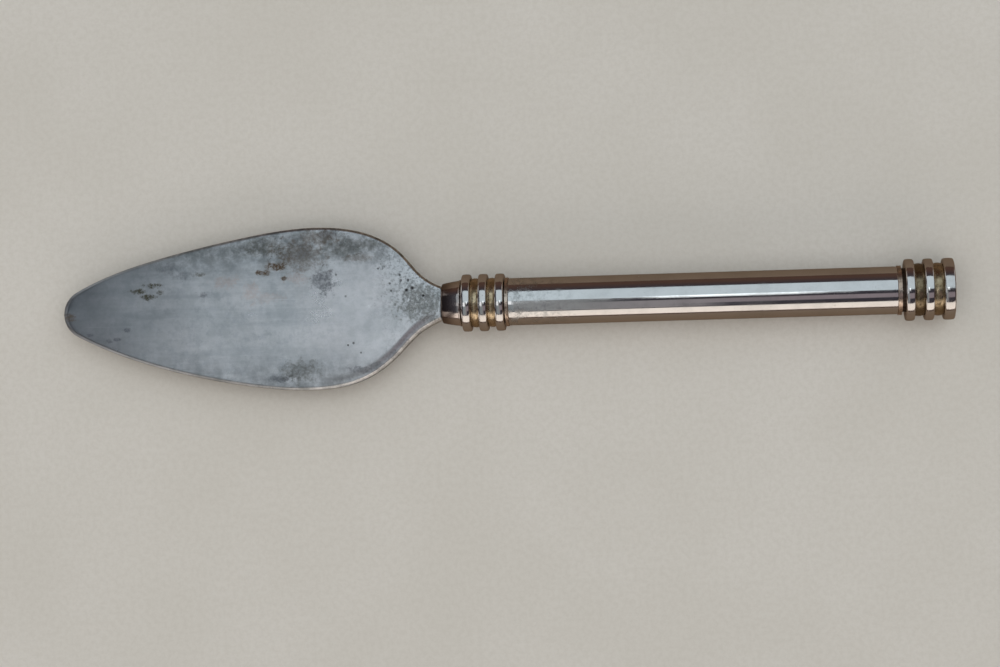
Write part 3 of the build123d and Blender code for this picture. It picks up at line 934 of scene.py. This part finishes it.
# ---------------------------------------------------------------- lights
def softbox(name, lean_from, lean_to, distance, left, right, radiance, colour, in_reflections=True):
    """A flat soft light over the knife.

    It spans the leans lean_from to lean_to, in degrees from straight up towards +Y (or -Y if negative),
    at a distance from the handle's line, and from left to right along X, in metres.
    """
    lean = math.radians((lean_from + lean_to) / 2)
    across = 2 * distance * math.tan(math.radians(abs(lean_to - lean_from) / 2))
    data = bpy.data.lights.new(name, "AREA")
    data.shape = "RECTANGLE"
    data.size = right - left
    data.size_y = across
    data.energy = radiance * math.pi * data.size * data.size_y
    data.color = colour
    light = bpy.data.objects.new(name, data)
    light.rotation_euler = (-lean, 0, 0)
    light.location = ((left + right) / 2, distance * math.sin(lean), AXIS_Z + distance * math.cos(lean))
    light.visible_camera = False
    light.visible_glossy = in_reflections
    bpy.context.scene.collection.objects.link(light)


softbox("window_softbox", 2, 50, 1.1, -0.36, 1.5, 0.62, (0.79, 0.92, 1.0))
softbox("blade_softbox", -14, 2, 1.1, -0.36, -0.125, 0.96, (0.93, 0.965, 1.0))
softbox("overhead_panel_left", -50, -14, 1.1, -0.36, -0.125, 0.22, (0.84, 0.96, 1.0))
softbox("overhead_panel_near", -50, 1, 1.1, -0.125, -0.02, 0.215, (0.94, 1.0, 1.0))
softbox("overhead_panel_middle", -50, -14, 1.12, -0.02, 0.06, 0.20, (1.0, 0.95, 0.97))
softbox("overhead_panel_right", -33, -13, 1.1, 0.06, 0.7, 0.19, (1.0, 0.84, 0.90))
softbox("bright_pane", -4, 6, 1.08, 0.02, 0.13, 1.05, (0.90, 0.96, 1.0))
softbox("warm_low_strip", -84, -53, 1.3, -0.46, 1.4, 0.84, (1.0, 0.92, 0.84))
softbox("far_left_strip", -84, -50, 1.3, -2.2, -0.60, 0.66, (1.0, 0.95, 0.90))
softbox("far_left_glow", 50, 86, 1.3, -2.4, -0.66, 0.50, (0.92, 0.97, 1.0))
softbox("far_right_glow", 50, 86, 1.3, 0.75, 1.7, 0.40, (0.92, 0.97, 1.0))
softbox("tip_glow", -30, 30, 0.5, -2.6, -0.5, 0.46, (0.93, 0.97, 1.0))
softbox("floor_wash", -30, 30, 1.6, -1.2, 1.2, 0.56, (1.0, 0.985, 0.96), in_reflections=False)


def make_world():
    """A dim brown room in reflections, soft even light on dull surfaces and a plain pale backdrop."""
    world = bpy.data.worlds.new("studio_room")
    world.use_nodes = True
    tree = world.node_tree
    background = tree.nodes["Background"]
    path = tree.nodes.new("ShaderNodeLightPath")
    direction = axis_parts(tree, tree.nodes.new("ShaderNodeTexCoord").outputs["Generated"])
    height = ramp(tree, direction["Z"], 0.15, 0.75)
    room = blend_colour(tree, height, (0.075, 0.042, 0.032), (0.035, 0.032, 0.04))
    ambient = blend_colour(tree, path.outputs["Is Diffuse Ray"], room, (0.26, 0.257, 0.25))
    shown = blend_colour(tree, path.outputs["Is Camera Ray"], ambient, (0.62, 0.60, 0.57))
    tree.links.new(shown, background.inputs["Color"])
    background.inputs["Strength"].default_value = 1.0
    bpy.context.scene.world = world


make_world()

# ---------------------------------------------------------------- camera
def aim_camera():
    """Almost straight above, a little to the butt's side, with the knife rising slightly to the right."""
    lean = math.radians(4.7)
    turn = math.radians(1.65)
    distance = 0.672
    data = bpy.data.cameras.new("view")
    data.sensor_width, data.lens = 36, 90
    back = Vector((math.sin(lean), 0, math.cos(lean)))
    flat_right = Vector((math.cos(lean), 0, -math.sin(lean)))
    flat_up = Vector((0, 1, 0))
    right = flat_right * math.cos(turn) - flat_up * math.sin(turn)
    up = flat_right * math.sin(turn) + flat_up * math.cos(turn)
    below_handle = 8.44 * MM  # the view's centre lies this far below the handle's line
    off_middle = -0.56 * MM  # and this far along it from the knife's middle
    target = Vector((off_middle, 0, AXIS_Z)) - up * below_handle
    camera = bpy.data.objects.new("view", data)
    camera.matrix_world = Matrix((
        (right.x, up.x, back.x, 0),
        (right.y, up.y, back.y, 0),
        (right.z, up.z, back.z, 0),
        (0, 0, 0, 1),
    ))
    camera.location = target + back * distance
    bpy.context.scene.collection.objects.link(camera)
    bpy.context.scene.camera = camera


aim_camera()
bpy.context.scene.view_settings.view_transform = "Standard"
